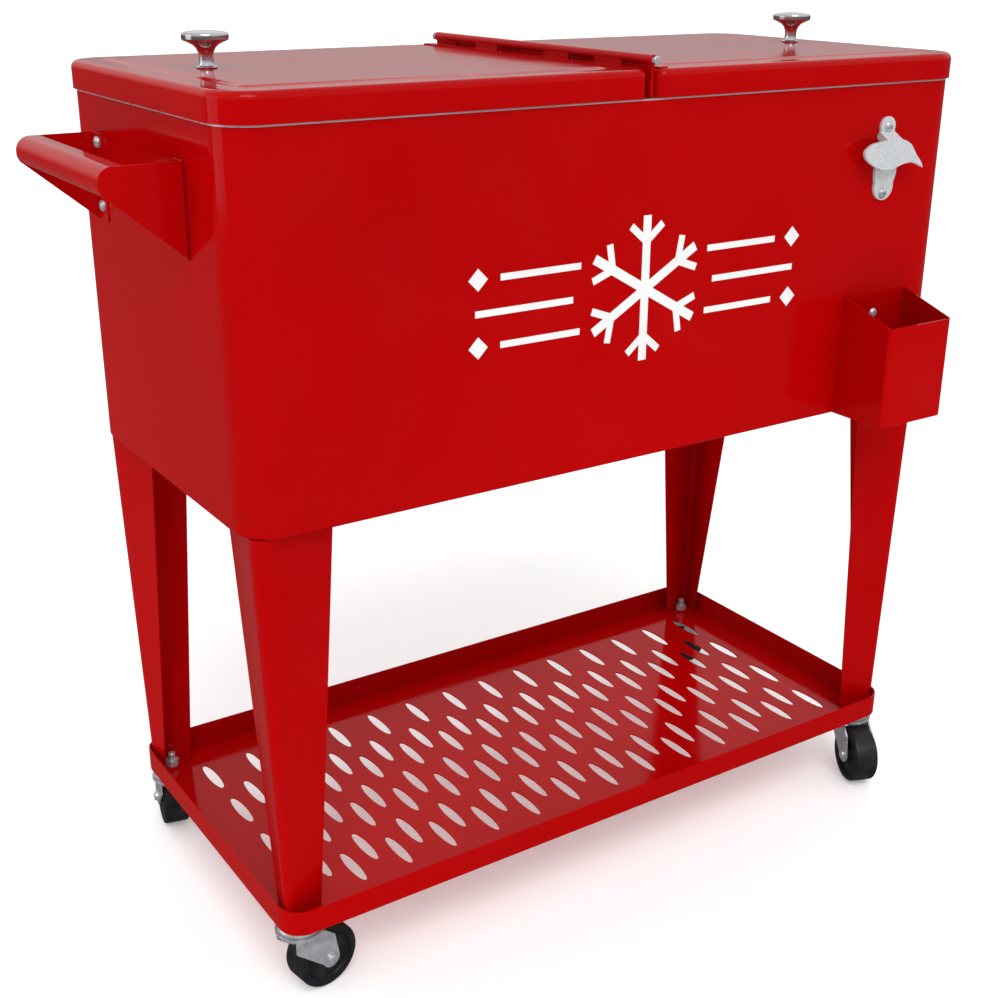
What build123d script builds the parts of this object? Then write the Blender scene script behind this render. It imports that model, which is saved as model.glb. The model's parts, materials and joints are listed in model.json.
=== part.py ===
"""Vintage party cooler: an insulated sheet-metal chest on four legs with a shelf tray, swivel casters,
two lids on a shared centre hinge, an end handle, a bottle opener and a cap catcher.

Millimetres. X runs along the chest, the handle end at -X. Y runs front to back, the opener side at -Y.
Z is up and the floor is z = 0. The origin is on the floor under the middle of the chest.
"""
import os
from math import asin, cos, degrees, radians, sin

from build123d import *

# --- chest body ---
BODY_LENGTH = 810.0
BODY_DEPTH = 366.0
BODY_RADIUS = 34.0
BODY_BOTTOM = 482.0
BODY_TOP = 817.0
SHEET = 1.2
GAP = 0.1

# --- ice liner and the foam around it ---
CAVITY_LENGTH = 757.0
CAVITY_DEPTH = 313.0
CAVITY_RADIUS = 22.0
CAVITY_FLOOR = 508.0
CAVITY_FILLET = 6.0
RIM_TOP = BODY_TOP + SHEET

# --- lids ---
LID_END = 408.0
LID_INNER = 5.0
LID_HALF_DEPTH = 186.0
LID_BOTTOM = 818.8
LID_BORDER = 843.5
LID_TOP = 845.0
LID_OUTER_RADIUS = 37.0
LID_INNER_RADIUS = 12.0
PANEL_INSET = 28.0
LINING_BOTTOM = 820.5

# --- centre hinge ---
AXIS_Z = 851.0
ROD_RADIUS = 2.5
KNUCKLE_BORE = 2.55
KNUCKLE_RADIUS = 4.2
KNUCKLE_COUNT = 9
KNUCKLE_PITCH = 40.5
KNUCKLE_LENGTH = 39.9
LEAF_WIDTH = 20.0
RAIL_SLOTS = (0, 4, 8)
LEFT_SLOTS = (1, 3, 6)
RIGHT_SLOTS = (2, 5, 7)

# --- lid knobs ---
KNOB_X = 340.0
KNOB_RADIUS = 20.0
KNOB_HEIGHT = 31.0

# --- drain on the right end ---
DRAIN_Y = 110.0
DRAIN_Z = 529.5
SPOUT_RADIUS = 9.0

# --- legs: corner, end-flange edge and face-flange edge of one quarter ---
LEG_SHEET = 1.5
LEG_TOP = BODY_BOTTOM
LEG_BOTTOM = 82.5
LEG_CORNER_TOP = (402.0, 180.0)
LEG_END_TOP = (386.5, 92.0)
LEG_FACE_TOP = (321.0, 167.0)
LEG_CORNER_FOOT = (388.0, 175.0)
LEG_END_FOOT = (383.5, 147.0)
LEG_FACE_FOOT = (347.5, 162.5)
LEG_BEND_TOP = 20.0
LEG_BEND_FOOT = 8.0
LEG_SCREWS = ((377.0, 122.0), (351.0, 153.0), (384.0, 160.0))

# --- shelf tray ---
TRAY_LENGTH = 785.0
TRAY_DEPTH = 374.0
TRAY_RADIUS = 23.5
TRAY_BOTTOM = 81.0
TRAY_SHEET = 1.5
TRAY_TOP = 108.0
SLOT_LENGTH = 53.0
SLOT_WIDTH = 11.5
SLOT_PITCH = 52.35
WIDE_ROWS = (-115.2, -38.4, 38.4, 115.2)
NARROW_ROWS = (-91.0, -14.2, 62.6)

# --- casters: side, sign in X, sign in Y and the way the wheel trails, in degrees ---
CASTER_X = 370.0
CASTER_Y = 160.0
CASTERS = (
    ("front_left", -1, -1, 10.0),
    ("front_right", 1, -1, -112.0),
    ("back_left", -1, 1, 78.0),
    ("back_right", 1, 1, 20.0),
)
WHEEL_RADIUS = 33.0
WHEEL_WIDTH = 28.0
TRAIL = 24.0
AXLE_RADIUS = 3.5
STEM_RADIUS = 4.0
FORK_SHEET = 2.0

# --- end handle ---
HANDLE_FRONT = -97.0
HANDLE_BACK = 119.0
HANDLE_TOP = 784.0
HANDLE_FOOT = 704.0
GRIP_X = -463.0
GRIP_RADIUS = 13.0
HANDLE_SHEET = 1.5
HANDLE_SCREW_Z = (776.0, 719.0)

# --- bottle opener ---
OPENER_X = 302.4
OPENER_TOP_SCREW = 776.0
OPENER_LOW_SCREW = 710.0
OPENER_STAND_OFF = 15.0
OPENER_SHEET = 3.0
SHIELD_THICKNESS = 3.5

# --- cap catcher ---
CATCHER_LEFT = 263.0
CATCHER_RIGHT = 353.0
CATCHER_DEPTH = 67.5
CATCHER_BACK_TOP = 608.0
CATCHER_FRONT_TOP = 587.0
CATCHER_SHEET = 1.2
CATCHER_SCREWS = ((308.0, 585.0), (308.0, 510.0))

FRONT = -BODY_DEPTH / 2
LEFT_END = -BODY_LENGTH / 2
RIGHT_END = BODY_LENGTH / 2

os.makedirs("parts", exist_ok=True)


def save(part, name):
    """Label one piece and write it as a STEP file."""
    part.label = name
    export_step(part, f"parts/{name}.step")


def rounded_block(length, depth, radius, bottom, top, mode=Mode.ADD):
    """A block with rounded upright corners, centred on the origin in plan."""
    with BuildSketch(Plane.XY.offset(bottom)) as outline:
        RectangleRounded(length, depth, radius)
    extrude(outline.sketch, amount=top - bottom, mode=mode)


def hole_x(y, z, radius, x0, x1):
    """Cut a round hole along X between two X positions."""
    with BuildSketch(Plane.YZ.offset(x0)) as outline:
        with Locations((y, z)):
            Circle(radius)
    extrude(outline.sketch, amount=x1 - x0, mode=Mode.SUBTRACT)


def hole_y(x, z, radius, y0, y1):
    """Cut a round hole along Y between two Y positions."""
    with BuildSketch(Plane.XZ.offset(-y0)) as outline:
        with Locations((x, z)):
            Circle(radius)
    extrude(outline.sketch, amount=-(y1 - y0), mode=Mode.SUBTRACT)


def hole_z(x, y, radius, z0, z1):
    """Cut a round hole along Z between two heights."""
    with BuildSketch(Plane.XY.offset(z0)) as outline:
        with Locations((x, y)):
            Circle(radius)
    extrude(outline.sketch, amount=z1 - z0, mode=Mode.SUBTRACT)


def along_x(x, y, z):
    """A plane at a point, facing +X."""
    return Plane((x, y, z), x_dir=(0, 1, 0), z_dir=(1, 0, 0))


def along_y(x, y, z):
    """A plane at a point, facing +Y."""
    return Plane((x, y, z), x_dir=(1, 0, 0), z_dir=(0, 1, 0))


def bar(plane, radius, length):
    """A round bar from a plane's origin along its normal."""
    with BuildSketch(plane) as outline:
        Circle(radius)
    extrude(outline.sketch, amount=length)


def hex_bar(plane, across_flats, length):
    """A six-sided bar from a plane's origin along its normal."""
    with BuildSketch(plane) as outline:
        RegularPolygon(across_flats / 2, 6, major_radius=False)
    extrude(outline.sketch, amount=length)


def dome_middle(rim_radius, height):
    """The middle point of a dome's outline, from its rim at zero height up to its top."""
    ball = (rim_radius ** 2 + height ** 2) / (2 * height)
    half_angle = asin(rim_radius / ball) / 2
    return (ball * sin(half_angle), height - ball + ball * cos(half_angle))


def dome_screw(plane, head_radius, head_height, stem_radius, stem_length):
    """A domed screw: the plane's origin is under the head and its normal points out of the head."""
    with BuildSketch(Plane(plane.origin, x_dir=plane.x_dir, z_dir=-plane.y_dir)) as section:
        with BuildLine():
            top = (0, head_height)
            rim = (head_radius, 0)
            ThreePointArc(rim, dome_middle(head_radius, head_height), top)
            Polyline(top, (0, -stem_length), (stem_radius, -stem_length), (stem_radius, 0), rim)
        make_face()
    revolve(section.sketch, axis=Axis(plane.origin, plane.z_dir), revolution_arc=360)


LEG_SCREW_POINTS = []
for sign_x in (-1, 1):
    for sign_y in (-1, 1):
        for screw_x, screw_y in LEG_SCREWS:
            LEG_SCREW_POINTS.append((sign_x * screw_x, sign_y * screw_y))

CASTER_POINTS = [(sx * CASTER_X, sy * CASTER_Y) for _, sx, sy, _ in CASTERS]
HANDLE_FLANGE = 24.0
HANDLE_SCREW_Y = (HANDLE_FRONT + 14.0, HANDLE_BACK - 14.0)
HANDLE_SCREW_POINTS = [(y, z) for y in HANDLE_SCREW_Y for z in HANDLE_SCREW_Z]
OPENER_SCREW_POINTS = ((OPENER_X, OPENER_TOP_SCREW), (OPENER_X, OPENER_LOW_SCREW))
FACE_SCREW_POINTS = OPENER_SCREW_POINTS + CATCHER_SCREWS
RAIL_SCREW_X = (-9.0, 9.0)
RAIL_SCREW_Z = 802.0

# ---------------------------------------------------------------- chest body

with BuildPart() as outer_shell:
    rounded_block(BODY_LENGTH, BODY_DEPTH, BODY_RADIUS, BODY_BOTTOM, BODY_TOP)
    rounded_block(BODY_LENGTH - 2 * SHEET, BODY_DEPTH - 2 * SHEET, BODY_RADIUS - SHEET,
                  BODY_BOTTOM + SHEET, BODY_TOP, mode=Mode.SUBTRACT)
    hole_x(DRAIN_Y, DRAIN_Z, SPOUT_RADIUS + 0.3, RIGHT_END - 5, RIGHT_END + 5)
    for screw_y, screw_z in HANDLE_SCREW_POINTS:
        hole_x(screw_y, screw_z, 2.7, LEFT_END - 5, LEFT_END + 5)
    for screw_x, screw_z in FACE_SCREW_POINTS:
        hole_y(screw_x, screw_z, 2.7, FRONT - 5, FRONT + 5)
    for screw_x, screw_y in LEG_SCREW_POINTS:
        hole_z(screw_x, screw_y, 3.2, BODY_BOTTOM - 5, BODY_BOTTOM + 5)
save(outer_shell.part, "outer_shell")

LINER_LENGTH = CAVITY_LENGTH + 2 * SHEET
LINER_DEPTH = CAVITY_DEPTH + 2 * SHEET
with BuildPart() as inner_liner:
    rounded_block(LINER_LENGTH, LINER_DEPTH, CAVITY_RADIUS + SHEET, CAVITY_FLOOR - SHEET, RIM_TOP)
    fillet(inner_liner.faces().sort_by(Axis.Z)[0].edges(), CAVITY_FILLET + SHEET)
    rounded_block(BODY_LENGTH, BODY_DEPTH, BODY_RADIUS, BODY_TOP, RIM_TOP)
    with BuildPart(mode=Mode.PRIVATE) as cavity:
        rounded_block(CAVITY_LENGTH, CAVITY_DEPTH, CAVITY_RADIUS, CAVITY_FLOOR, RIM_TOP)
        fillet(cavity.faces().sort_by(Axis.Z)[0].edges(), CAVITY_FILLET)
    add(cavity.part, mode=Mode.SUBTRACT)
    hole_x(DRAIN_Y, DRAIN_Z, SPOUT_RADIUS + 0.3, CAVITY_LENGTH / 2 - 5, CAVITY_LENGTH / 2 + 5)
    for screw_x in RAIL_SCREW_X:
        hole_y(screw_x, RAIL_SCREW_Z, 2.2, CAVITY_DEPTH / 2 - 5, CAVITY_DEPTH / 2 + 5)
        hole_y(screw_x, RAIL_SCREW_Z, 2.2, -CAVITY_DEPTH / 2 - 5, -CAVITY_DEPTH / 2 + 5)
save(inner_liner.part, "inner_liner")

FOAM_LENGTH = BODY_LENGTH - 2 * SHEET - 2 * GAP
FOAM_DEPTH = BODY_DEPTH - 2 * SHEET - 2 * GAP
with BuildPart() as insulation:
    rounded_block(FOAM_LENGTH, FOAM_DEPTH, BODY_RADIUS - SHEET - GAP,
                  BODY_BOTTOM + SHEET + GAP, BODY_TOP - GAP)
    rounded_block(LINER_LENGTH + 2 * GAP, LINER_DEPTH + 2 * GAP, CAVITY_RADIUS + SHEET + GAP,
                  CAVITY_FLOOR - SHEET - GAP, BODY_TOP, mode=Mode.SUBTRACT)
    hole_x(DRAIN_Y, DRAIN_Z, SPOUT_RADIUS + 0.5, CAVITY_LENGTH / 2 - 5, RIGHT_END)
    for screw_y, screw_z in HANDLE_SCREW_POINTS:
        hole_x(screw_y, screw_z, 4.0, LEFT_END, LEFT_END + 16)
    for screw_x, screw_z in FACE_SCREW_POINTS:
        hole_y(screw_x, screw_z, 4.0, FRONT, FRONT + 16)
    for screw_x, screw_y in LEG_SCREW_POINTS:
        hole_z(screw_x, screw_y, 6.0, BODY_BOTTOM, BODY_BOTTOM + 14)
    for screw_x in RAIL_SCREW_X:
        hole_y(screw_x, RAIL_SCREW_Z, 3.0, CAVITY_DEPTH / 2, CAVITY_DEPTH / 2 + 16)
        hole_y(screw_x, RAIL_SCREW_Z, 3.0, -CAVITY_DEPTH / 2 - 16, -CAVITY_DEPTH / 2)
save(insulation.part, "insulation")

# ---------------------------------------------------------------- drain

with BuildPart() as drain_spout:
    bar(along_x(CAVITY_LENGTH / 2 - 2.5, DRAIN_Y, DRAIN_Z), 14.0, 2.5)
    bar(along_x(CAVITY_LENGTH / 2 - 2.5, DRAIN_Y, DRAIN_Z), SPOUT_RADIUS, 56.0)
    hole_x(DRAIN_Y, DRAIN_Z, SPOUT_RADIUS - 2.5, CAVITY_LENGTH / 2 - 10, CAVITY_LENGTH / 2 + 60)
save(drain_spout.part, "drain_spout")

with BuildPart() as drain_washer:
    bar(along_x(RIGHT_END, DRAIN_Y, DRAIN_Z), 15.0, 2.0)
    hole_x(DRAIN_Y, DRAIN_Z, SPOUT_RADIUS, RIGHT_END - 5, RIGHT_END + 5)
save(drain_washer.part, "drain_washer")

with BuildPart() as drain_nut:
    hex_bar(along_x(RIGHT_END + 2.0, DRAIN_Y, DRAIN_Z), 26.0, 7.0)
    hole_x(DRAIN_Y, DRAIN_Z, SPOUT_RADIUS, RIGHT_END, RIGHT_END + 12)
save(drain_nut.part, "drain_nut")

with BuildPart() as drain_cap:
    bar(along_x(RIGHT_END + 12.0, DRAIN_Y, DRAIN_Z), 12.0, 18.0)
    fillet(drain_cap.faces().sort_by(Axis.X)[-1].edges(), 2.0)
    bar(along_x(RIGHT_END + 12.0, DRAIN_Y, DRAIN_Z), 13.0, 4.0)
    hole_x(DRAIN_Y, DRAIN_Z, SPOUT_RADIUS + 0.08, RIGHT_END + 10, RIGHT_END + 27.5)
save(drain_cap.part, "drain_cap")

# ---------------------------------------------------------------- centre rail and hinge rod


def knuckle_start(index):
    """Front end of a hinge knuckle, counted from the front."""
    return (index - KNUCKLE_COUNT / 2) * KNUCKLE_PITCH + (KNUCKLE_PITCH - KNUCKLE_LENGTH) / 2


def knuckles(indices, web_left, web_right, web_foot):
    """Hinge knuckles on the rod's axis, each with a web down to the piece that carries it."""
    for index in indices:
        start = knuckle_start(index)
        with BuildSketch(Plane.XZ.offset(-start - KNUCKLE_LENGTH)) as section:
            with Locations((0, AXIS_Z)):
                Circle(KNUCKLE_RADIUS)
            with Locations(((web_left + web_right) / 2, (web_foot + AXIS_Z) / 2)):
                Rectangle(web_right - web_left, AXIS_Z - web_foot)
        extrude(section.sketch, amount=KNUCKLE_LENGTH)
    for index in indices:
        start = knuckle_start(index)
        hole_y(0, AXIS_Z, KNUCKLE_BORE, start - 0.1, start + KNUCKLE_LENGTH + 0.1)


RAIL_HALF = CAVITY_DEPTH / 2 - GAP
with BuildPart() as centre_rail:
    with BuildSketch(Plane.XY.offset(RIM_TOP - 1.5)):
        Rectangle(52, 2 * RAIL_HALF)
    extrude(amount=1.5)
    with BuildSketch(Plane.XY.offset(RIM_TOP)):
        Rectangle(3.2, 362)
    extrude(amount=22)
    for side in (-1, 1):
        with BuildSketch(Plane.XZ.offset(-side * RAIL_HALF)):
            with Locations((0, 804.5)):
                Rectangle(30, 26)
        extrude(amount=side * 1.5)
    for screw_x in RAIL_SCREW_X:
        hole_y(screw_x, RAIL_SCREW_Z, 2.2, RAIL_HALF - 5, RAIL_HALF + 5)
        hole_y(screw_x, RAIL_SCREW_Z, 2.2, -RAIL_HALF - 5, -RAIL_HALF + 5)
    knuckles(RAIL_SLOTS, -1.6, 1.6, RIM_TOP + 20)
save(centre_rail.part, "centre_rail")

with BuildPart() as rail_screws:
    for screw_x in RAIL_SCREW_X:
        for side in (-1, 1):
            head_place = (screw_x, side * (RAIL_HALF - 1.5), RAIL_SCREW_Z)
            head_plane = Plane(head_place, x_dir=(1, 0, 0), z_dir=(0, -side, 0))
            dome_screw(head_plane, 4.0, 2.2, 2.0, 14.0)
save(rail_screws.part, "rail_screws")

ROD_HALF = 186.0
with BuildPart() as hinge_rod:
    bar(along_y(0, -ROD_HALF, AXIS_Z), ROD_RADIUS, 2 * ROD_HALF)
    bar(along_y(0, -ROD_HALF - 1.8, AXIS_Z), 3.6, 1.8)
    fillet(hinge_rod.faces().sort_by(Axis.Y)[0].edges(), 1.0)
    bar(along_y(0, ROD_HALF, AXIS_Z), 3.6, 1.8)
save(hinge_rod.part, "hinge_rod")

# ---------------------------------------------------------------- lids


def lid_outline(sign, inset, bottom):
    """Plan outline of one lid, drawn in from its edge, on a plane at the given height."""
    near = LID_INNER + inset
    far = LID_END - inset
    with BuildSketch(Plane.XY.offset(bottom)) as outline:
        with Locations((sign * (near + far) / 2, 0)):
            Rectangle(far - near, 2 * (LID_HALF_DEPTH - inset))
        by_x = outline.vertices().group_by(Axis.X)
        outer_corners = by_x[-1] if sign > 0 else by_x[0]
        fillet(outer_corners, max(LID_OUTER_RADIUS - inset, 4.0))
        by_x = outline.vertices().sort_by(Axis.X)
        inner_corners = by_x[:2] if sign > 0 else by_x[-2:]
        fillet(inner_corners, max(LID_INNER_RADIUS - inset, 2.0))
    return outline.sketch


for side, sign in (("left", -1), ("right", 1)):
    with BuildPart() as lid_pan:
        extrude(lid_outline(sign, 0, LID_BOTTOM), amount=LID_BORDER - LID_BOTTOM)
        fillet(lid_pan.faces().sort_by(Axis.Z)[-1].edges(), 4.0)
        offset(amount=-SHEET, openings=lid_pan.faces().sort_by(Axis.Z)[0])
        extrude(lid_outline(sign, PANEL_INSET, LID_BORDER), amount=LID_TOP - LID_BORDER, taper=40)
        hole_z(sign * KNOB_X, 0, 2.7, LID_BORDER - 5, LID_TOP + 5)
    save(lid_pan.part, f"{side}_lid_pan")

    with BuildPart() as lid_foam:
        foam_bottom = LINING_BOTTOM + SHEET + GAP
        extrude(lid_outline(sign, SHEET + GAP, foam_bottom), amount=LID_BORDER - SHEET - GAP - foam_bottom)
        fillet(lid_foam.faces().sort_by(Axis.Z)[-1].edges(), 3.2)
        hole_z(sign * KNOB_X, 0, 7.0, LID_BORDER - 12, LID_BORDER)
    save(lid_foam.part, f"{side}_lid_foam")

    with BuildPart() as lid_lining:
        extrude(lid_outline(sign, SHEET + GAP, LINING_BOTTOM), amount=SHEET)
    save(lid_lining.part, f"{side}_lid_lining")

    with BuildPart() as lid_gasket:
        extrude(lid_outline(sign, 10, LINING_BOTTOM - 2.0), amount=2.0)
        with BuildPart(mode=Mode.PRIVATE) as gasket_window:
            extrude(lid_outline(sign, 18, LINING_BOTTOM - 3.0), amount=4.0)
        add(gasket_window.part, mode=Mode.SUBTRACT)
    save(lid_gasket.part, f"{side}_lid_gasket")

    with BuildPart() as hinge_leaf:
        with BuildSketch(Plane.XY.offset(LID_BORDER)):
            with Locations((sign * (LEAF_WIDTH + 9.0) / 2, 0)):
                Rectangle(LEAF_WIDTH - 9.0, 356)
        extrude(amount=SHEET)
        for index in LEFT_SLOTS if sign < 0 else RIGHT_SLOTS:
            start = knuckle_start(index)
            with BuildSketch(Plane.XY.offset(LID_BORDER)):
                with Locations((sign * 5.0, start + KNUCKLE_LENGTH / 2)):
                    Rectangle(10.0, KNUCKLE_LENGTH)
            extrude(amount=SHEET)
        if sign < 0:
            knuckles(LEFT_SLOTS, -KNUCKLE_RADIUS, 0, LID_BORDER)
        else:
            knuckles(RIGHT_SLOTS, 0, KNUCKLE_RADIUS, LID_BORDER)
    save(hinge_leaf.part, f"{side}_hinge_leaf")

    crown = dome_middle(KNOB_RADIUS - 1.5, KNOB_HEIGHT - 30)
    with BuildPart() as knob:
        with BuildSketch(Plane.XZ):
            with BuildLine():
                Polyline((0, LID_TOP), (7.5, LID_TOP), (7.5, LID_TOP + 1.5), (6.5, LID_TOP + 4))
                Spline((6.5, LID_TOP + 4), (7.2, LID_TOP + 11), (11.0, LID_TOP + 18), (17.0, LID_TOP + 22))
                Polyline((17.0, LID_TOP + 22), (KNOB_RADIUS, LID_TOP + 23.5), (KNOB_RADIUS, LID_TOP + 28.5),
                         (KNOB_RADIUS - 1.5, LID_TOP + 30))
                ThreePointArc((KNOB_RADIUS - 1.5, LID_TOP + 30), (crown[0], LID_TOP + 30 + crown[1]),
                              (0, LID_TOP + KNOB_HEIGHT))
                Line((0, LID_TOP + KNOB_HEIGHT), (0, LID_TOP))
            make_face()
        revolve(axis=Axis.Z)
        hole_z(0, 0, 2.5, LID_TOP - 1, LID_TOP + 16)
    knob_part = knob.part.moved(Location((sign * KNOB_X, 0, 0)))
    save(knob_part, f"{side}_knob")

    with BuildPart() as knob_screw:
        bar(Plane((sign * KNOB_X, 0, LID_BORDER - SHEET - 4.0)), 5.5, 4.0)
        bar(Plane((sign * KNOB_X, 0, LID_BORDER - SHEET - 4.0)), 2.5, 4.0 + SHEET + 1.5 + 14.0)
    save(knob_screw.part, f"{side}_knob_screw")

# ---------------------------------------------------------------- legs


def toward(start, end, distance):
    """The point a given distance from start on the way to end."""
    run_x = end[0] - start[0]
    run_y = end[1] - start[1]
    share = distance / (run_x ** 2 + run_y ** 2) ** 0.5
    return (start[0] + run_x * share, start[1] + run_y * share)


def leg_strip(corner, end_edge, face_edge, bend, height, sign_x, sign_y):
    """Cross-section of the folded leg sheet at one height: two flanges and a rounded outer bend."""
    def flip(point):
        return (sign_x * point[0], sign_y * point[1])

    inner_corner = (corner[0] - 1.9 * LEG_SHEET, corner[1] - 1.9 * LEG_SHEET)
    inner_bend = bend - 0.6 * LEG_SHEET
    inner_end = (end_edge[0] - LEG_SHEET, end_edge[1] + 0.25 * LEG_SHEET)
    inner_face = (face_edge[0] + 0.25 * LEG_SHEET, face_edge[1] - LEG_SHEET)
    outer_a = toward(corner, end_edge, bend)
    outer_b = toward(corner, face_edge, bend)
    inner_a = toward(inner_corner, inner_end, inner_bend)
    inner_b = toward(inner_corner, inner_face, inner_bend)
    with BuildSketch(Plane.XY.offset(height)) as strip:
        with BuildLine():
            Line(flip(end_edge), flip(outer_a))
            Bezier(flip(outer_a), flip(corner), flip(outer_b))
            Line(flip(outer_b), flip(face_edge))
            Line(flip(face_edge), flip(inner_face))
            Line(flip(inner_face), flip(inner_b))
            Bezier(flip(inner_b), flip(inner_corner), flip(inner_a))
            Line(flip(inner_a), flip(inner_end))
            Line(flip(inner_end), flip(end_edge))
        make_face()
    return strip.sketch.face()


def leg_plate(corner, end_edge, face_edge, bend, sign_x, sign_y, bottom, thickness):
    """A flat plate across the fold of the leg, at one height."""
    def flip(point):
        return (sign_x * point[0], sign_y * point[1])

    inner = (corner[0] - LEG_SHEET, corner[1] - LEG_SHEET)
    first = toward(inner, end_edge, bend)
    second = toward(inner, face_edge, bend)
    last = (end_edge[0] - 0.6 * LEG_SHEET, end_edge[1])
    other = (face_edge[0], face_edge[1] - 0.6 * LEG_SHEET)
    with BuildSketch(Plane.XY.offset(bottom)) as outline:
        with BuildLine():
            Line(flip(last), flip(first))
            Line(flip(first), flip(second))
            Line(flip(second), flip(other))
            Line(flip(other), flip(last))
        make_face()
    extrude(outline.sketch, amount=thickness)


for name, sign_x, sign_y, trail_angle in CASTERS:
    with BuildPart() as leg:
        top_face = leg_strip(LEG_CORNER_TOP, LEG_END_TOP, LEG_FACE_TOP,
                             LEG_BEND_TOP, LEG_TOP, sign_x, sign_y)
        foot_face = leg_strip(LEG_CORNER_FOOT, LEG_END_FOOT, LEG_FACE_FOOT,
                              LEG_BEND_FOOT, LEG_BOTTOM, sign_x, sign_y)
        loft([foot_face, top_face], ruled=True)
        leg_plate(LEG_CORNER_TOP, LEG_END_TOP, LEG_FACE_TOP,
                  LEG_BEND_TOP * 0.75, sign_x, sign_y, LEG_TOP - 2.0, 2.0)
        leg_plate(LEG_CORNER_FOOT, LEG_END_FOOT, LEG_FACE_FOOT,
                  LEG_BEND_FOOT * 0.75, sign_x, sign_y, LEG_BOTTOM, 2.5)
        for screw_x, screw_y in LEG_SCREWS:
            hole_z(sign_x * screw_x, sign_y * screw_y, 3.2, LEG_TOP - 5, LEG_TOP + 5)
        hole_z(sign_x * CASTER_X, sign_y * CASTER_Y, STEM_RADIUS, LEG_BOTTOM - 5, LEG_BOTTOM + 5)
    save(leg.part, f"{name}_leg")

with BuildPart() as leg_screws:
    for screw_x, screw_y in LEG_SCREW_POINTS:
        hex_bar(Plane((screw_x, screw_y, LEG_TOP - 2.0 - 3.5)), 10.0, 3.5)
        bar(Plane((screw_x, screw_y, LEG_TOP - 2.0)), 3.0, 13.0)
save(leg_screws.part, "leg_screws")

# ---------------------------------------------------------------- shelf tray

with BuildPart() as shelf_tray:
    rounded_block(TRAY_LENGTH, TRAY_DEPTH, TRAY_RADIUS, TRAY_BOTTOM, TRAY_TOP)
    fillet(shelf_tray.faces().sort_by(Axis.Z)[0].edges(), 2.5)
    rounded_block(TRAY_LENGTH - 2 * TRAY_SHEET, TRAY_DEPTH - 2 * TRAY_SHEET, TRAY_RADIUS - TRAY_SHEET,
                  TRAY_BOTTOM + TRAY_SHEET, TRAY_TOP, mode=Mode.SUBTRACT)
    with BuildSketch(Plane.XY.offset(TRAY_BOTTOM)):
        for row in WIDE_ROWS:
            for column in range(14):
                with Locations(((column - 6.5) * SLOT_PITCH, row)):
                    Ellipse(SLOT_WIDTH / 2, SLOT_LENGTH / 2)
        for row in NARROW_ROWS:
            for column in range(13):
                with Locations(((column - 6) * SLOT_PITCH, row)):
                    Ellipse(SLOT_WIDTH / 2, SLOT_LENGTH / 2)
    extrude(amount=TRAY_SHEET, mode=Mode.SUBTRACT)
    for stem_x, stem_y in CASTER_POINTS:
        hole_z(stem_x, stem_y, STEM_RADIUS, TRAY_BOTTOM - 5, TRAY_BOTTOM + 5)
save(shelf_tray.part, "shelf_tray")

# ---------------------------------------------------------------- casters

NUT_BOTTOM = LEG_BOTTOM + 2.5
with BuildPart() as caster_nuts:
    for stem_x, stem_y in CASTER_POINTS:
        hex_bar(Plane((stem_x, stem_y, NUT_BOTTOM)), 13.0, 6.5)
        hole_z(stem_x, stem_y, STEM_RADIUS, NUT_BOTTOM - 1, NUT_BOTTOM + 8)
save(caster_nuts.part, "caster_nuts")

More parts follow.
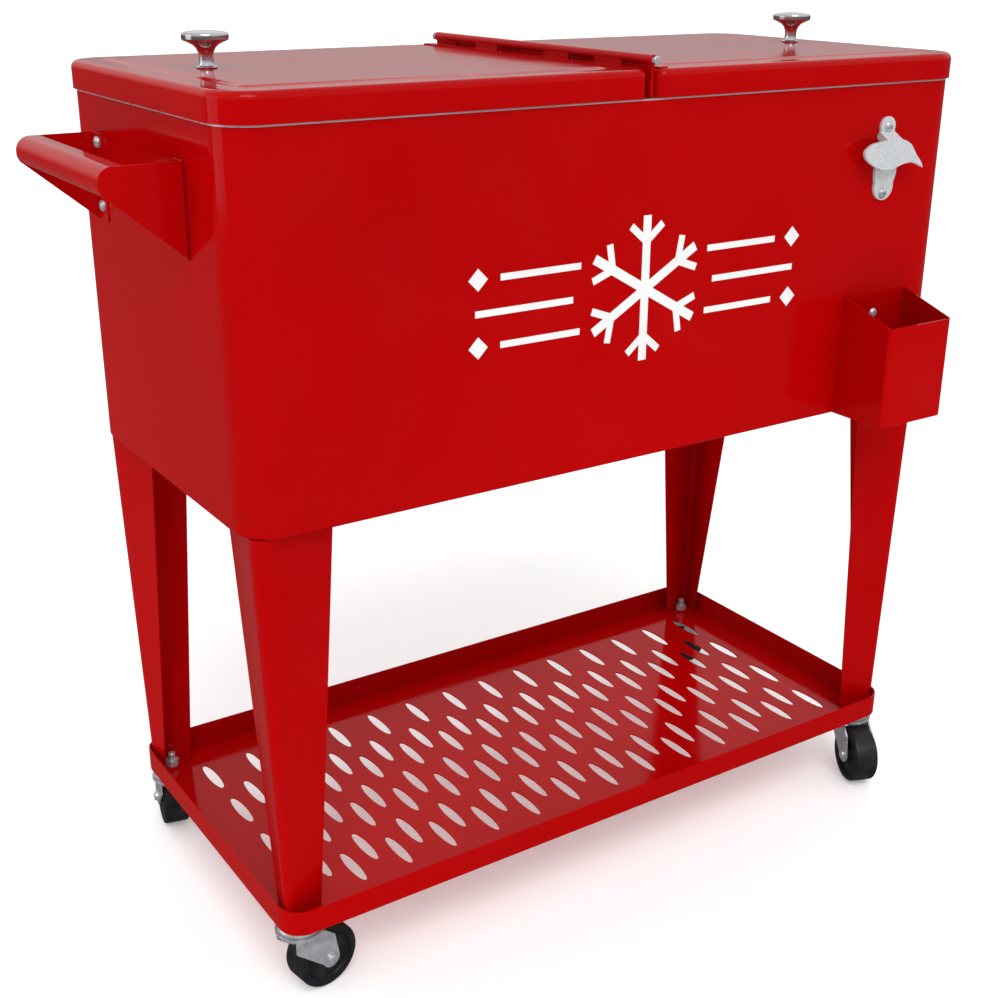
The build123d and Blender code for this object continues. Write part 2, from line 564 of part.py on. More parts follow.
FORK_TOP = 69.6
EAR_INSIDE = WHEEL_WIDTH / 2 + 1.2
for name, sign_x, sign_y, trail_angle in CASTERS:
    stem_x = sign_x * CASTER_X
    stem_y = sign_y * CASTER_Y
    trail_x = cos(radians(trail_angle))
    trail_y = sin(radians(trail_angle))
    wheel_x = stem_x + TRAIL * trail_x
    wheel_y = stem_y + TRAIL * trail_y
    # Across the wheel, toward the front of the chest.
    across = (trail_y, -trail_x, 0)

    def axle_plane(distance):
        """A plane square to the axle, a signed distance from the wheel's middle."""
        origin = (wheel_x + across[0] * distance, wheel_y + across[1] * distance, WHEEL_RADIUS)
        return Plane(origin, x_dir=(trail_x, trail_y, 0), z_dir=across)

    with BuildPart() as caster_stem:
        with BuildSketch(Plane.XZ):
            with BuildLine():
                Polyline((0, FORK_TOP - 4.5), (6.5, FORK_TOP - 4.5), (6.5, FORK_TOP - 2.5),
                         (4.0, FORK_TOP - 2.5), (4.0, FORK_TOP + 4.6), (20.5, FORK_TOP + 4.6),
                         (21.5, FORK_TOP + 6.0))
                ThreePointArc((21.5, FORK_TOP + 6.0), (19.8, FORK_TOP + 9.2), (15.0, FORK_TOP + 10.4))
                Polyline((15.0, FORK_TOP + 10.4), (12.0, FORK_TOP + 10.4), (12.0, TRAY_BOTTOM),
                         (STEM_RADIUS, TRAY_BOTTOM), (STEM_RADIUS, 99.0),
                         (STEM_RADIUS - 1, 100.0), (0, 100.0), (0, FORK_TOP - 4.5))
            make_face()
        revolve(axis=Axis.Z)
    save(caster_stem.part.moved(Location((stem_x, stem_y, 0))), f"{name}_caster_stem")

    with BuildPart() as caster_fork:
        with BuildSketch(Plane.XZ):
            with BuildLine():
                Polyline((4.06, FORK_TOP - 2.1), (19.5, FORK_TOP - 2.1), (23.0, FORK_TOP + 2.0),
                         (23.0, FORK_TOP + 4.2), (19.5, FORK_TOP + 4.2), (18.0, FORK_TOP),
                         (4.06, FORK_TOP), (4.06, FORK_TOP - 2.1))
            make_face()
        revolve(axis=Axis.Z)
    fork_turn = Location((stem_x, stem_y, 0))
    with BuildPart() as fork_body:
        add(caster_fork.part.moved(fork_turn))
        for face in (-1, 1):
            with BuildSketch(axle_plane(face * EAR_INSIDE)):
                with BuildLine():
                    Polyline((-TRAIL - 15.0, FORK_TOP - WHEEL_RADIUS), (-TRAIL - 15.0, 24.0), (-9.0, -3.5))
                    ThreePointArc((-9.0, -3.5), (1.5, -9.3), (9.2, 1.5))
                    Polyline((9.2, 1.5), (5.0, 26.0), (-TRAIL + 17.0, FORK_TOP - WHEEL_RADIUS),
                             (-TRAIL - 15.0, FORK_TOP - WHEEL_RADIUS))
                make_face()
            extrude(amount=face * FORK_SHEET)
        with BuildSketch(axle_plane(EAR_INSIDE + 10)):
            Circle(AXLE_RADIUS)
        extrude(amount=-2 * EAR_INSIDE - 20, mode=Mode.SUBTRACT)
    save(fork_body.part, f"{name}_caster_fork")

    with BuildPart() as caster_axle:
        with BuildSketch(axle_plane(-EAR_INSIDE - FORK_SHEET)):
            Circle(AXLE_RADIUS)
        extrude(amount=2 * (EAR_INSIDE + FORK_SHEET))
        with BuildSketch(axle_plane(EAR_INSIDE + FORK_SHEET)):
            RegularPolygon(5.5, 6, major_radius=False)
        extrude(amount=3.5)
        with BuildSketch(axle_plane(-EAR_INSIDE - FORK_SHEET)):
            RegularPolygon(5.5, 6, major_radius=False)
        extrude(amount=-4.0)
    save(caster_axle.part, f"{name}_caster_axle")

    with BuildPart() as caster_wheel:
        with BuildSketch(axle_plane(-WHEEL_WIDTH / 2)):
            Circle(WHEEL_RADIUS)
        extrude(amount=WHEEL_WIDTH)
        fillet(caster_wheel.edges().filter_by(GeomType.CIRCLE), 3.0)
        for face in (-1, 1):
            with BuildSketch(axle_plane(face * WHEEL_WIDTH / 2)):
                Circle(25.0)
                Circle(9.0, mode=Mode.SUBTRACT)
            extrude(amount=-face * 3.0, mode=Mode.SUBTRACT)
        with BuildSketch(axle_plane(WHEEL_WIDTH)):
            Circle(AXLE_RADIUS + 0.06)
        extrude(amount=-2 * WHEEL_WIDTH, mode=Mode.SUBTRACT)
    save(caster_wheel.part, f"{name}_caster_wheel")

# ---------------------------------------------------------------- end handle

GRIP_Z = HANDLE_TOP - GRIP_RADIUS
BACK_FACE = LEFT_END
INNER_GRIP = GRIP_RADIUS - HANDLE_SHEET


def round_grip(radius, degrees_round):
    """A point on a circle round the grip's centre, counted from +X toward +Z."""
    angle = radians(degrees_round)
    return (GRIP_X + radius * cos(angle), GRIP_Z + radius * sin(angle))



with BuildPart() as side_handle:
    # The two end plates.
    for start in (HANDLE_FRONT, HANDLE_BACK - HANDLE_SHEET):
        with BuildSketch(Plane.XZ.offset(-start - HANDLE_SHEET)):
            with BuildLine():
                Line((BACK_FACE, HANDLE_FOOT), (BACK_FACE, HANDLE_TOP))
                Line((BACK_FACE, HANDLE_TOP), (GRIP_X, HANDLE_TOP))
                ThreePointArc((GRIP_X, HANDLE_TOP), (GRIP_X - GRIP_RADIUS, GRIP_Z),
                              round_grip(GRIP_RADIUS, 215))
                Line(round_grip(GRIP_RADIUS, 215), (BACK_FACE, HANDLE_FOOT))
            make_face()
        extrude(amount=HANDLE_SHEET)
    # The rolled grip, open along its underside.
    with BuildSketch(Plane.XZ.offset(-HANDLE_BACK)):
        with BuildLine():
            ThreePointArc((GRIP_X, HANDLE_TOP), (GRIP_X - GRIP_RADIUS, GRIP_Z),
                          (GRIP_X, GRIP_Z - GRIP_RADIUS))
            ThreePointArc((GRIP_X, GRIP_Z - GRIP_RADIUS), round_grip(GRIP_RADIUS, -76),
                          round_grip(GRIP_RADIUS, -62))
            Line(round_grip(GRIP_RADIUS, -62), round_grip(INNER_GRIP, -62))
            ThreePointArc(round_grip(INNER_GRIP, -62), round_grip(INNER_GRIP, -76),
                          (GRIP_X, GRIP_Z - INNER_GRIP))
            ThreePointArc((GRIP_X, GRIP_Z - INNER_GRIP), (GRIP_X - INNER_GRIP, GRIP_Z),
                          (GRIP_X, GRIP_Z + INNER_GRIP))
            Line((GRIP_X, GRIP_Z + INNER_GRIP), (GRIP_X + 9.0, GRIP_Z + INNER_GRIP))
            Line((GRIP_X + 9.0, GRIP_Z + INNER_GRIP), (GRIP_X + 9.0, HANDLE_TOP))
            Line((GRIP_X + 9.0, HANDLE_TOP), (GRIP_X, HANDLE_TOP))
        make_face()
    extrude(amount=HANDLE_BACK - HANDLE_FRONT)
    # Screw flanges against the chest.
    for start in (HANDLE_FRONT, HANDLE_BACK - HANDLE_FLANGE):
        with BuildSketch(Plane.YZ.offset(BACK_FACE)):
            with Locations((start + HANDLE_FLANGE / 2, (HANDLE_TOP + HANDLE_FOOT) / 2)):
                Rectangle(HANDLE_FLANGE, HANDLE_TOP - HANDLE_FOOT)
        extrude(amount=-HANDLE_SHEET)
    for screw_y, screw_z in HANDLE_SCREW_POINTS:
        hole_x(screw_y, screw_z, 2.7, BACK_FACE - 5, BACK_FACE + 5)
save(side_handle.part, "side_handle")

with BuildPart() as handle_screws:
    for screw_y, screw_z in HANDLE_SCREW_POINTS:
        head_plane = Plane((BACK_FACE - HANDLE_SHEET, screw_y, screw_z), x_dir=(0, 1, 0), z_dir=(-1, 0, 0))
        dome_screw(head_plane, 5.5, 4.0, 2.5, 13.0)
save(handle_screws.part, "handle_screws")

# ---------------------------------------------------------------- bottle opener

# Outline of the face plate, a hooked shield whose point reaches right: X from the screws, and Z.
SHIELD_LOWER = (
    (-14.0, 764.5), (-20.0, 763.6), (-27.0, 762.8), (-33.0, 761.6), (-38.0, 759.0), (-42.0, 755.0),
    (-40.8, 749.7), (-35.9, 744.8), (-28.7, 740.6), (-19.7, 737.0), (-8.9, 735.2), (-0.3, 735.8),
    (6.1, 737.7), (12.7, 739.5), (19.4, 740.4), (25.2, 740.4), (30.3, 739.5), (36.6, 737.0), (43.0, 734.2),
)
SHIELD_UPPER = (
    (43.0, 734.2), (40.1, 739.7), (34.2, 745.5), (28.2, 752.5), (23.3, 758.1), (15.9, 762.2), (9.0, 764.5),
)
# Outline of the strap that joins the two lugs.
STRAP = (
    (-9.5, 776.0), (-9.5, 756.0), (-12.0, 745.0), (-13.0, 728.0), (-11.0, 718.0), (14.0, 718.0),
    (18.0, 729.0), (17.0, 745.0), (9.5, 756.0), (9.5, 776.0), (-9.5, 776.0),
)
SHIELD_FACE = FRONT - OPENER_STAND_OFF
SHIELD_REAR = SHIELD_FACE + SHIELD_THICKNESS
STRAP_FACE = FRONT - OPENER_SHEET

with BuildPart() as bottle_opener:
    # Strap against the chest with a round lug at each end.
    with BuildSketch(Plane.XZ.offset(-FRONT)):
        with Locations((OPENER_X, OPENER_TOP_SCREW)):
            Circle(10.0)
        with Locations((OPENER_X + 1.5, OPENER_LOW_SCREW + 6.5)):
            Circle(13.5)
        with BuildLine():
            Polyline(*[(OPENER_X + x, z) for x, z in STRAP])
        make_face()
    extrude(amount=OPENER_SHEET)
    # Shield standing off the chest.
    with BuildSketch(Plane.XZ.offset(-SHIELD_REAR)):
        with BuildLine():
            Spline(*[(OPENER_X + x, z) for x, z in SHIELD_LOWER])
            Spline(*[(OPENER_X + x, z) for x, z in SHIELD_UPPER])
            Line((OPENER_X + 9.0, 764.5), (OPENER_X - 14.0, 764.5))
        make_face()
    extrude(amount=SHIELD_THICKNESS)
    # Neck that carries the shield from the top lug, sloping outward.
    with BuildSketch(Plane.YZ.offset(OPENER_X - 11.5)):
        with BuildLine():
            Polyline((FRONT, 769.0), (STRAP_FACE, 771.5), (SHIELD_FACE, 764.5), (SHIELD_FACE, 752.0),
                     (SHIELD_REAR, 752.0), (SHIELD_REAR, 758.0), (STRAP_FACE, 764.0), (FRONT, 764.0),
                     (FRONT, 769.0))
        make_face()
    extrude(amount=20.5)
    # Tooth that catches under the cap.
    with BuildSketch(Plane.XZ.offset(-FRONT)):
        with Locations((OPENER_X, 735.5)):
            Rectangle(17.0, 5.0)
    extrude(amount=6.0)
    for screw_x, screw_z in OPENER_SCREW_POINTS:
        hole_y(screw_x, screw_z, 2.7, FRONT - 12, FRONT + 1)
save(bottle_opener.part, "bottle_opener")

with BuildPart() as opener_screws:
    for screw_x, screw_z in OPENER_SCREW_POINTS:
        head_plane = Plane((screw_x, STRAP_FACE, screw_z), x_dir=(1, 0, 0), z_dir=(0, -1, 0))
        dome_screw(head_plane, 5.0, 3.5, 2.5, 15.0)
save(opener_screws.part, "opener_screws")

# ---------------------------------------------------------------- cap catcher

CATCHER_FRONT = FRONT - CATCHER_DEPTH
with BuildPart() as cap_catcher:
    with BuildSketch(Plane.YZ.offset(CATCHER_LEFT)):
        Polygon((FRONT, BODY_BOTTOM), (FRONT, CATCHER_BACK_TOP), (CATCHER_FRONT, CATCHER_FRONT_TOP),
                (CATCHER_FRONT, BODY_BOTTOM), align=None)
    extrude(amount=CATCHER_RIGHT - CATCHER_LEFT)
    fillet(cap_catcher.edges().filter_by(Axis.Z).group_by(Axis.Y)[0], 3.0)
    offset(amount=-CATCHER_SHEET, openings=cap_catcher.faces().sort_by(Axis.Z)[-1])
    for screw_x, screw_z in CATCHER_SCREWS:
        hole_y(screw_x, screw_z, 2.7, FRONT - 5, FRONT + 1)
save(cap_catcher.part, "cap_catcher")

with BuildPart() as catcher_screws:
    for screw_x, screw_z in CATCHER_SCREWS:
        head_plane = Plane((screw_x, FRONT - CATCHER_SHEET, screw_z), x_dir=(1, 0, 0), z_dir=(0, -1, 0))
        dome_screw(head_plane, 5.0, 3.2, 2.5, 13.0)
save(catcher_screws.part, "catcher_screws")

# ---------------------------------------------------------------- front ornament

ORNAMENT_X = 0.0
ORNAMENT_Z = 648.0
ORNAMENT_SHEET = 0.4
with BuildPart() as front_ornament:
    with BuildSketch(Plane.XZ.offset(-FRONT)):
        # A six-armed ice crystal.
        for arm in range(6):
            turn = radians(90 + 60 * arm)
            with Locations((ORNAMENT_X, ORNAMENT_Z)):
                with Locations(Location((34 * cos(turn), 34 * sin(turn), 0), (0, 0, 90 + 60 * arm))):
                    Rectangle(68, 9)
            for branch in (-1, 1):
                spot = (ORNAMENT_X + 44 * cos(turn), ORNAMENT_Z + 44 * sin(turn))
                lean = turn + branch * radians(50)
                middle = (spot[0] + 11 * cos(lean), spot[1] + 11 * sin(lean))
                with Locations(Location((middle[0], middle[1], 0), (0, 0, degrees(lean)))):
                    Rectangle(26, 7)
        # Rules and diamonds either side.
        for side in (-1, 1):
            for row, reach in ((-30, 86), (0, 104), (30, 86)):
                start = 82 if row == 0 else 74
                with Locations((ORNAMENT_X + side * (start + reach / 2), ORNAMENT_Z + row)):
                    Rectangle(reach, 6)
            with Locations(Location((ORNAMENT_X + side * 183, ORNAMENT_Z + 30, 0), (0, 0, 45))):
                Rectangle(14, 14)
            with Locations(Location((ORNAMENT_X + side * 183, ORNAMENT_Z - 30, 0), (0, 0, 45))):
                Rectangle(14, 14)
    extrude(amount=ORNAMENT_SHEET)
save(front_ornament.part, "front_ornament")
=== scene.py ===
import json
import math

import bmesh
import bpy
from mathutils import Euler, Matrix, Vector

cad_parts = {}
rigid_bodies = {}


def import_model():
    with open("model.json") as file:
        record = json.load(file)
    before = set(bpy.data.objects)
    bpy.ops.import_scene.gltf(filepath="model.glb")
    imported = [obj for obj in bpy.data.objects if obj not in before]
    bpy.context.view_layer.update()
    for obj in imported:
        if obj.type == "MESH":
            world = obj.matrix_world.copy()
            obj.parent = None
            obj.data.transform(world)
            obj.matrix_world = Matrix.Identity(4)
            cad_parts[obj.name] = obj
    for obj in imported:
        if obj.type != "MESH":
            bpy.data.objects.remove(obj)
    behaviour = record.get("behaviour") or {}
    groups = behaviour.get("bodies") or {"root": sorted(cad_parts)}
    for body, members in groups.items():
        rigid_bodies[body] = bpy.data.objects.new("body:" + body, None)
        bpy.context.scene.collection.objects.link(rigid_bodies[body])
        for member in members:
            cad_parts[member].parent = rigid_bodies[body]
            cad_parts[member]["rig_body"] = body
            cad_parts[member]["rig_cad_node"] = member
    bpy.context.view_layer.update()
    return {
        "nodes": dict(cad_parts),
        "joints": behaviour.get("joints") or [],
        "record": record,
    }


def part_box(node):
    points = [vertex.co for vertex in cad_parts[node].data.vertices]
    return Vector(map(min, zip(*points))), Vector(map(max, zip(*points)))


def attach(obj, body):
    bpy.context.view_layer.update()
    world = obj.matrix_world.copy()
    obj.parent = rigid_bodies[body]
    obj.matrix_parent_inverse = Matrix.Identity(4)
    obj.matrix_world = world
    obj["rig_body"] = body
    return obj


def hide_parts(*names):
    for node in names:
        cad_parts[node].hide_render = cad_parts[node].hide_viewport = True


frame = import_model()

bl_info = {
    "name": "Party Cooler",
    "version": (1, 0, 0),
    "blender": (4, 5, 0),
    "location": "View3D > Sidebar > Cooler",
    "description": "Models and finishes a vintage party cooler over its packed frame",
    "category": "Object",
}

NODES = frame["nodes"]
CORNERS = ("front_left", "front_right", "back_left", "back_right")
SLOT_OF = {part["node"]: part["material_slot"] for part in frame["record"]["subparts"]}
JOINTS = {joint["name"]: joint for joint in frame["joints"]}
UP = Vector((0, 0, 1))
FINISHES = {}

# Measures that the pieces share, in metres.
LID_BORDER = 0.8435
PLATE_SHEET = 0.0015
HANDLE_FOOT_RISE = 0.060
HANDLE_FLANGE = 0.024
CATCHER_DROP = 0.021
KNUCKLE_PITCH = 0.0405
KNUCKLE_COUNT = 9
FORK_HALF_WIDTH = 0.0172
OPENER_X = 0.3024
OPENER_SHEET = 0.003
CATCHER_SCREW_X = 0.308
HANDLE_SCREWS_Y = (-0.083, 0.105)


# ---------------------------------------------------------------- working habits

def clear_picks():
    """Leave object mode's selection empty."""
    if bpy.context.mode != "OBJECT":
        bpy.ops.object.mode_set(mode="OBJECT")
    bpy.ops.object.select_all(action="DESELECT")


def take(piece):
    """Select one piece and make it the active one."""
    clear_picks()
    piece.select_set(True)
    bpy.context.view_layer.objects.active = piece


def edit(piece):
    """Open a piece in edit mode with nothing picked."""
    take(piece)
    bpy.ops.object.mode_set(mode="EDIT")
    bpy.ops.mesh.select_all(action="DESELECT")


def settle(piece):
    """Put a piece's place into its mesh, so the object sits at the origin."""
    take(piece)
    bpy.ops.object.transform_apply(location=True, rotation=True, scale=True)


def pick_faces(piece, test):
    """Pick only the faces whose middle and outward direction pass the test."""
    bpy.ops.mesh.select_mode(type="FACE")
    bpy.ops.mesh.select_all(action="DESELECT")
    form = bmesh.from_edit_mesh(piece.data)
    for face in form.faces:
        if test(face.calc_center_median(), face.normal):
            face.select_set(True)
    bmesh.update_edit_mesh(piece.data)


def pick_edges(piece, test):
    """Pick only the edges whose two ends pass the test."""
    bpy.ops.mesh.select_mode(type="EDGE")
    bpy.ops.mesh.select_all(action="DESELECT")
    form = bmesh.from_edit_mesh(piece.data)
    for edge in form.edges:
        if test(edge.verts[0].co, edge.verts[1].co):
            edge.select_set(True)
    bmesh.update_edit_mesh(piece.data)


def round_edges(width, steps):
    """Round the picked edges."""
    bpy.ops.mesh.bevel(offset=width, segments=steps, profile=0.5, affect="EDGES")


def start_box(name, low, high):
    """Add a block between two corners."""
    clear_picks()
    middle = [(a + b) / 2 for a, b in zip(low, high)]
    bpy.ops.mesh.primitive_cube_add(size=1, location=middle)
    piece = bpy.context.active_object
    piece.name = name
    piece.scale = [b - a for a, b in zip(low, high)]
    settle(piece)
    return piece


def modify(piece, kind, **settings):
    """Add one modifier and apply it."""
    take(piece)
    modifier = piece.modifiers.new(kind.lower(), kind)
    for key, value in settings.items():
        setattr(modifier, key, value)
    bpy.ops.object.modifier_apply(modifier=modifier.name)


def close_form(piece):
    """Merge doubles and turn every face outward."""
    edit(piece)
    bpy.ops.mesh.select_all(action="SELECT")
    bpy.ops.mesh.remove_doubles(threshold=0.000002)
    bpy.ops.mesh.normals_make_consistent(inside=False)
    bpy.ops.object.mode_set(mode="OBJECT")


def smooth(piece, degrees=32):
    """Shade the rounded parts smooth and keep flat faces flat."""
    take(piece)
    bpy.ops.object.shade_smooth_by_angle(angle=math.radians(degrees))
    modify(piece, "WEIGHTED_NORMAL", keep_sharp=True, weight=60)


def soften(piece, width, steps=2, degrees=28):
    """Round every crisp edge a little."""
    modify(piece, "BEVEL", width=width, segments=steps, limit_method="ANGLE",
           angle_limit=math.radians(degrees), use_clamp_overlap=True)


def twin(piece, name, shift=(0, 0, 0)):
    """A copy with its own mesh, moved."""
    other = piece.copy()
    other.data = piece.data.copy()
    other.name = name
    bpy.context.scene.collection.objects.link(other)
    other.location = Vector(shift)
    settle(other)
    return other


def join(pieces, name):
    """Make one piece of several."""
    take(pieces[0])
    for piece in pieces:
        piece.select_set(True)
    bpy.ops.object.join()
    pieces[0].name = name
    return pieces[0]


def turned(name, rings, sides=48):
    """A turned piece on the Z axis. Rings are (height, radius), from one end to the other."""
    clear_picks()
    low, radius = rings[0]
    height = rings[1][0]
    bpy.ops.mesh.primitive_cylinder_add(vertices=sides, radius=radius, depth=height - low,
                                        location=(0, 0, (low + height) / 2))
    piece = bpy.context.active_object
    piece.name = name
    settle(piece)
    edit(piece)
    top = height
    pick_faces(piece, lambda middle, way: way.z > 0.9 and abs(middle.z - top) < 1e-6)
    ratio = rings[1][1] / radius
    bpy.ops.transform.resize(value=(ratio, ratio, 1), center_override=(0, 0, height))
    radius = rings[1][1]
    for next_height, next_radius in rings[2:]:
        rise = next_height - height
        bpy.ops.mesh.extrude_region_move(TRANSFORM_OT_translate={"value": (0, 0, rise)})
        ratio = next_radius / radius
        bpy.ops.transform.resize(value=(ratio, ratio, 1), center_override=(0, 0, next_height))
        height, radius = next_height, next_radius
    close_form(piece)
    return piece


def aim(piece, place, way):
    """Move a piece made on the Z axis so that it stands at a place and points a way."""
    turn = UP.rotation_difference(Vector(way)).to_matrix().to_4x4()
    piece.matrix_world = Matrix.Translation(Vector(place)) @ turn
    settle(piece)


def copy_of_node(node, name):
    """A merged copy of a CAD node's mesh, free of its body."""
    clear_picks()
    source = NODES[node]
    piece = source.copy()
    piece.data = source.data.copy()
    piece.parent = None
    piece.name = name
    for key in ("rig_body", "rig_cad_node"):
        if key in piece:
            del piece[key]
    bpy.context.scene.collection.objects.link(piece)
    take(piece)
    bpy.ops.mesh.customdata_custom_splitnormals_clear()
    edit(piece)
    bpy.ops.mesh.select_all(action="SELECT")
    bpy.ops.mesh.remove_doubles(threshold=0.00001)
    bpy.ops.mesh.dissolve_limited(angle_limit=math.radians(0.6))
    bpy.ops.object.mode_set(mode="OBJECT")
    return piece


def finish_piece(piece, body, slot, *nodes):
    """Give a finished piece its material, its body and the nodes that it stands for."""
    piece.data.materials.clear()
    piece.data.materials.append(FINISHES[slot])
    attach(piece, body)
    if nodes:
        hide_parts(*nodes)
    return piece


# ---------------------------------------------------------------- finishes

class Finish:
    """A material under way: its shader and the nodes that feed it."""

    def __init__(self, name, colour, metallic=0.0, roughness=0.5, specular=0.5):
        self.material = bpy.data.materials.new(name)
        self.material.use_nodes = True
        self.material.diffuse_color = (*colour, 1)
        self.nodes = self.material.node_tree.nodes
        self.links = self.material.node_tree.links
        self.shader = self.nodes["Principled BSDF"]
        self.place = self.nodes.new("ShaderNodeTexCoord").outputs["Object"]
        self.shader.inputs["Base Color"].default_value = (*colour, 1)
        self.shader.inputs["Metallic"].default_value = metallic
        self.shader.inputs["Roughness"].default_value = roughness
        self.shader.inputs["Specular IOR Level"].default_value = specular
        self.bumped = None

    def grain(self, scale, detail=2.0, stretch=(1, 1, 1), distortion=0.0):
        """Noise in the piece's own space."""
        mapping = self.nodes.new("ShaderNodeMapping")
        mapping.inputs["Scale"].default_value = stretch
        self.links.new(self.place, mapping.inputs["Vector"])
        noise = self.nodes.new("ShaderNodeTexNoise")
        noise.inputs["Scale"].default_value = scale
        noise.inputs["Detail"].default_value = detail
        noise.inputs["Distortion"].default_value = distortion
        self.links.new(mapping.outputs["Vector"], noise.inputs["Vector"])
        return noise.outputs["Fac"]

    def cells(self, scale):
        """Cell pattern in the piece's own space."""
        voronoi = self.nodes.new("ShaderNodeTexVoronoi")
        voronoi.inputs["Scale"].default_value = scale
        self.links.new(self.place, voronoi.inputs["Vector"])
        return voronoi.outputs["Distance"]

    def span(self, value, low, high, start=0.3, end=0.7):
        """Spread a pattern over a range."""
        node = self.nodes.new("ShaderNodeMapRange")
        node.inputs["From Min"].default_value = start
        node.inputs["From Max"].default_value = end
        node.inputs["To Min"].default_value = low
        node.inputs["To Max"].default_value = high
        self.links.new(value, node.inputs["Value"])
        return node.outputs["Result"]

    def tint(self, factor, first, second):
        """A colour between two, by a pattern."""
        node = self.nodes.new("ShaderNodeMix")
        node.data_type = "RGBA"
        node.inputs[7].default_value = (*second, 1)
        if isinstance(first, tuple):
            node.inputs[6].default_value = (*first, 1)
        else:
            self.links.new(first, node.inputs[6])
        self.links.new(factor, node.inputs[0])
        return node.outputs[2]

    def colour(self, value):
        """Feed the base colour."""
        self.links.new(value, self.shader.inputs["Base Color"])

    def rough(self, value):
        """Feed the roughness."""
        self.links.new(value, self.shader.inputs["Roughness"])

    def relief(self, height, strength, depth):
        """Bump, laid over any bump that is there already."""
        node = self.nodes.new("ShaderNodeBump")
        node.inputs["Strength"].default_value = strength
        node.inputs["Distance"].default_value = depth
        self.links.new(height, node.inputs["Height"])
        if self.bumped:
            self.links.new(self.bumped, node.inputs["Normal"])
        self.bumped = node.outputs["Normal"]
        self.links.new(self.bumped, self.shader.inputs["Normal"])


def enamel():
    """Glossy baked enamel: even colour, faint orange peel, wavy sheet and light handling marks."""
    red = tuple(bpy.context.scene.cooler.enamel_colour)
    finish = Finish("red_enamel", red, roughness=0.1, specular=0.11)
    deep = tuple(c * 0.86 for c in red)
    base = finish.tint(finish.span(finish.grain(2.6, 3.0), 0.0, 1.0), red, deep)
    fine = finish.tint(finish.span(finish.grain(900.0, 2.0), 0.0, 0.35, 0.55, 0.75), base,
                       tuple(min(1.0, c * 1.12 + 0.001) for c in red))
    finish.colour(fine)
    finish.rough(finish.span(finish.grain(11.0, 5.0, distortion=0.4), 0.055, 0.15))
    finish.relief(finish.grain(5.0, 2.0), 0.10, 0.0016)
    finish.relief(finish.grain(380.0, 2.0), 0.035, 0.0004)
    return finish.material


def liner():
    """Bright rolled steel sheet with fine lines along its length."""
    finish = Finish("liner_steel", (0.58, 0.60, 0.62), metallic=0.6, roughness=0.3)
    lines = finish.grain(300.0, 3.0, stretch=(0.02, 1, 1))
    clouds = finish.span(finish.grain(6.0, 4.0), 0, 1)
    finish.colour(finish.tint(clouds, (0.66, 0.66, 0.70), (0.54, 0.54, 0.58)))
    finish.rough(finish.span(lines, 0.22, 0.4))
    finish.relief(lines, 0.08, 0.0002)
    return finish.material


def foam():
    """Poured foam: cream, with small closed cells."""
    finish = Finish("foam", (0.72, 0.60, 0.33), roughness=0.9, specular=0.2)
    clouds = finish.span(finish.grain(35.0, 5.0), 0, 1)
    finish.colour(finish.tint(clouds, (0.76, 0.65, 0.38), (0.62, 0.49, 0.24)))
    finish.relief(finish.cells(420.0), 0.35, 0.0008)
    return finish.material


def gasket():
    """Soft light grey sealing rubber."""
    finish = Finish("gasket", (0.55, 0.55, 0.53), roughness=0.62, specular=0.3)
    clouds = finish.span(finish.grain(40.0, 4.0), 0, 1)
    finish.colour(finish.tint(clouds, (0.58, 0.58, 0.56), (0.45, 0.45, 0.43)))
    finish.rough(finish.span(finish.grain(160.0, 3.0), 0.5, 0.72))
    finish.relief(finish.grain(700.0, 2.0), 0.12, 0.0002)
    return finish.material


def moulding():
    """Off-white moulded plastic with a faint spark texture."""
    finish = Finish("drain_plastic", (0.68, 0.68, 0.65), roughness=0.38)
    clouds = finish.span(finish.grain(30.0, 4.0), 0, 1)
    finish.colour(finish.tint(clouds, (0.70, 0.70, 0.67), (0.60, 0.60, 0.56)))
    finish.rough(finish.span(finish.grain(220.0, 3.0), 0.3, 0.46))
    finish.relief(finish.grain(1500.0, 2.0), 0.08, 0.0002)
    return finish.material


def chrome():
    """Satin bright plating with soft handling marks."""
    finish = Finish("chrome", (0.56, 0.55, 0.57), metallic=1.0, roughness=0.16)
    clouds = finish.span(finish.grain(60.0, 4.0), 0, 1)
    finish.colour(finish.tint(clouds, (0.60, 0.59, 0.61), (0.48, 0.47, 0.49)))
    finish.rough(finish.span(finish.grain(90.0, 5.0), 0.10, 0.26))
    finish.relief(finish.grain(900.0, 2.0, stretch=(1, 1, 0.1)), 0.04, 0.0001)
    return finish.material


def cast_metal():
    """Sand-grained light grey casting with a dull coat."""
    finish = Finish("cast_metal", (0.62, 0.64, 0.66), metallic=0.25, roughness=0.42)
    clouds = finish.span(finish.grain(260.0, 4.0), 0, 1)
    finish.colour(finish.tint(clouds, (0.68, 0.70, 0.72), (0.56, 0.58, 0.60)))
    finish.rough(finish.span(finish.grain(420.0, 3.0), 0.32, 0.52))
    finish.relief(finish.grain(1300.0, 3.0), 0.22, 0.0003)
    return finish.material


def white_print():
    """White screen-printed enamel."""
    finish = Finish("white_print", (0.80, 0.80, 0.79), roughness=0.22, specular=0.4)
    clouds = finish.span(finish.grain(25.0, 4.0), 0, 1)
    finish.colour(finish.tint(clouds, (0.83, 0.83, 0.82), (0.74, 0.74, 0.73)))
    finish.rough(finish.span(finish.grain(120.0, 3.0), 0.16, 0.3))
    finish.relief(finish.grain(500.0, 2.0), 0.05, 0.0002)
    return finish.material


